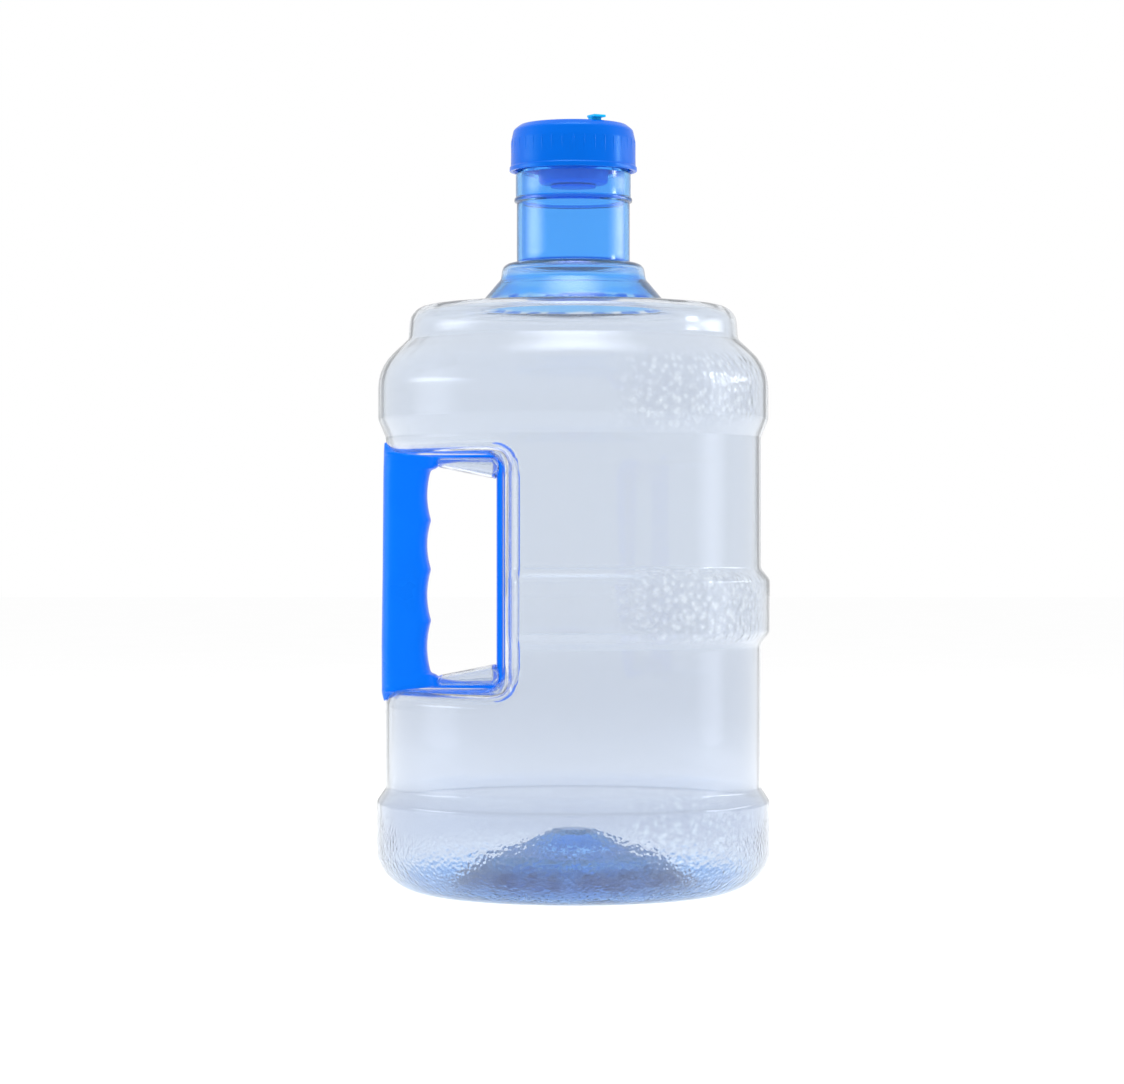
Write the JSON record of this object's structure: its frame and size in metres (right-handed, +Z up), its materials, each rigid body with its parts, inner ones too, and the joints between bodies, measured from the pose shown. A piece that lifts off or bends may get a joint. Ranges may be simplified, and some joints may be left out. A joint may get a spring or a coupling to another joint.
{
  "type": "large water jug",
  "caption": "Large clear water jug with a through finger handle set in one side, a ribbed screw cap, a probe valve and a flip dust lid.",
  "frame": {"origin": "centre of the foot on the surface that the jug stands on", "axes": "+Z up along the bottle axis, -X towards the handle, Y along the finger gap"},
  "size_m": [0.192, 0.192, 0.3769],
  "materials": {
    "clear_plastic": "clear, faintly blue, deep blue where thick",
    "handle_plastic": "satin gloss blue",
    "cap_plastic": "satin gloss blue",
    "gasket_rubber": "soft white silicone",
    "well_plastic": "satin blue",
    "plug_plastic": "satin blue",
    "lid_plastic": "translucent light blue"
  },
  "bodies": {
    "bottle_body": {"bottle": "clear_plastic", "handle": "handle_plastic"},
    "gasket_body": {"cap_gasket": "gasket_rubber"},
    "cap_body": {"cap_shell": "cap_plastic", "valve_well": "well_plastic"},
    "lid_body": {"dust_lid": "lid_plastic"},
    "plug_body": {"valve_plug": "plug_plastic"}
  },
  "joints": [
    {"name": "cap_lift", "type": "slide", "parent": "bottle_body", "child": "gasket_body", "axis": [0, 0, 1], "range_m": [0, 0.0361]},
    {"name": "cap_turn", "type": "hinge", "parent": "gasket_body", "child": "cap_body", "pos_m": [0, 0, 0.3714], "axis": [0, 0, 1], "range_deg": [0, 1080]},
    {"name": "lid_hinge", "type": "hinge", "parent": "cap_body", "child": "lid_body", "pos_m": [-0.012, 0.02078, 0.3739], "axis": [-0.866, -0.5, 0], "range_deg": [0, 120]},
    {"name": "plug_slide", "type": "slide", "parent": "cap_body", "child": "plug_body", "axis": [0, 0, -1], "range_m": [0, 0.02]}
  ],
  "couplings": [
    {"joint": "cap_lift", "follows": "cap_turn", "m_per_rad": 0.0019099}
  ]
}
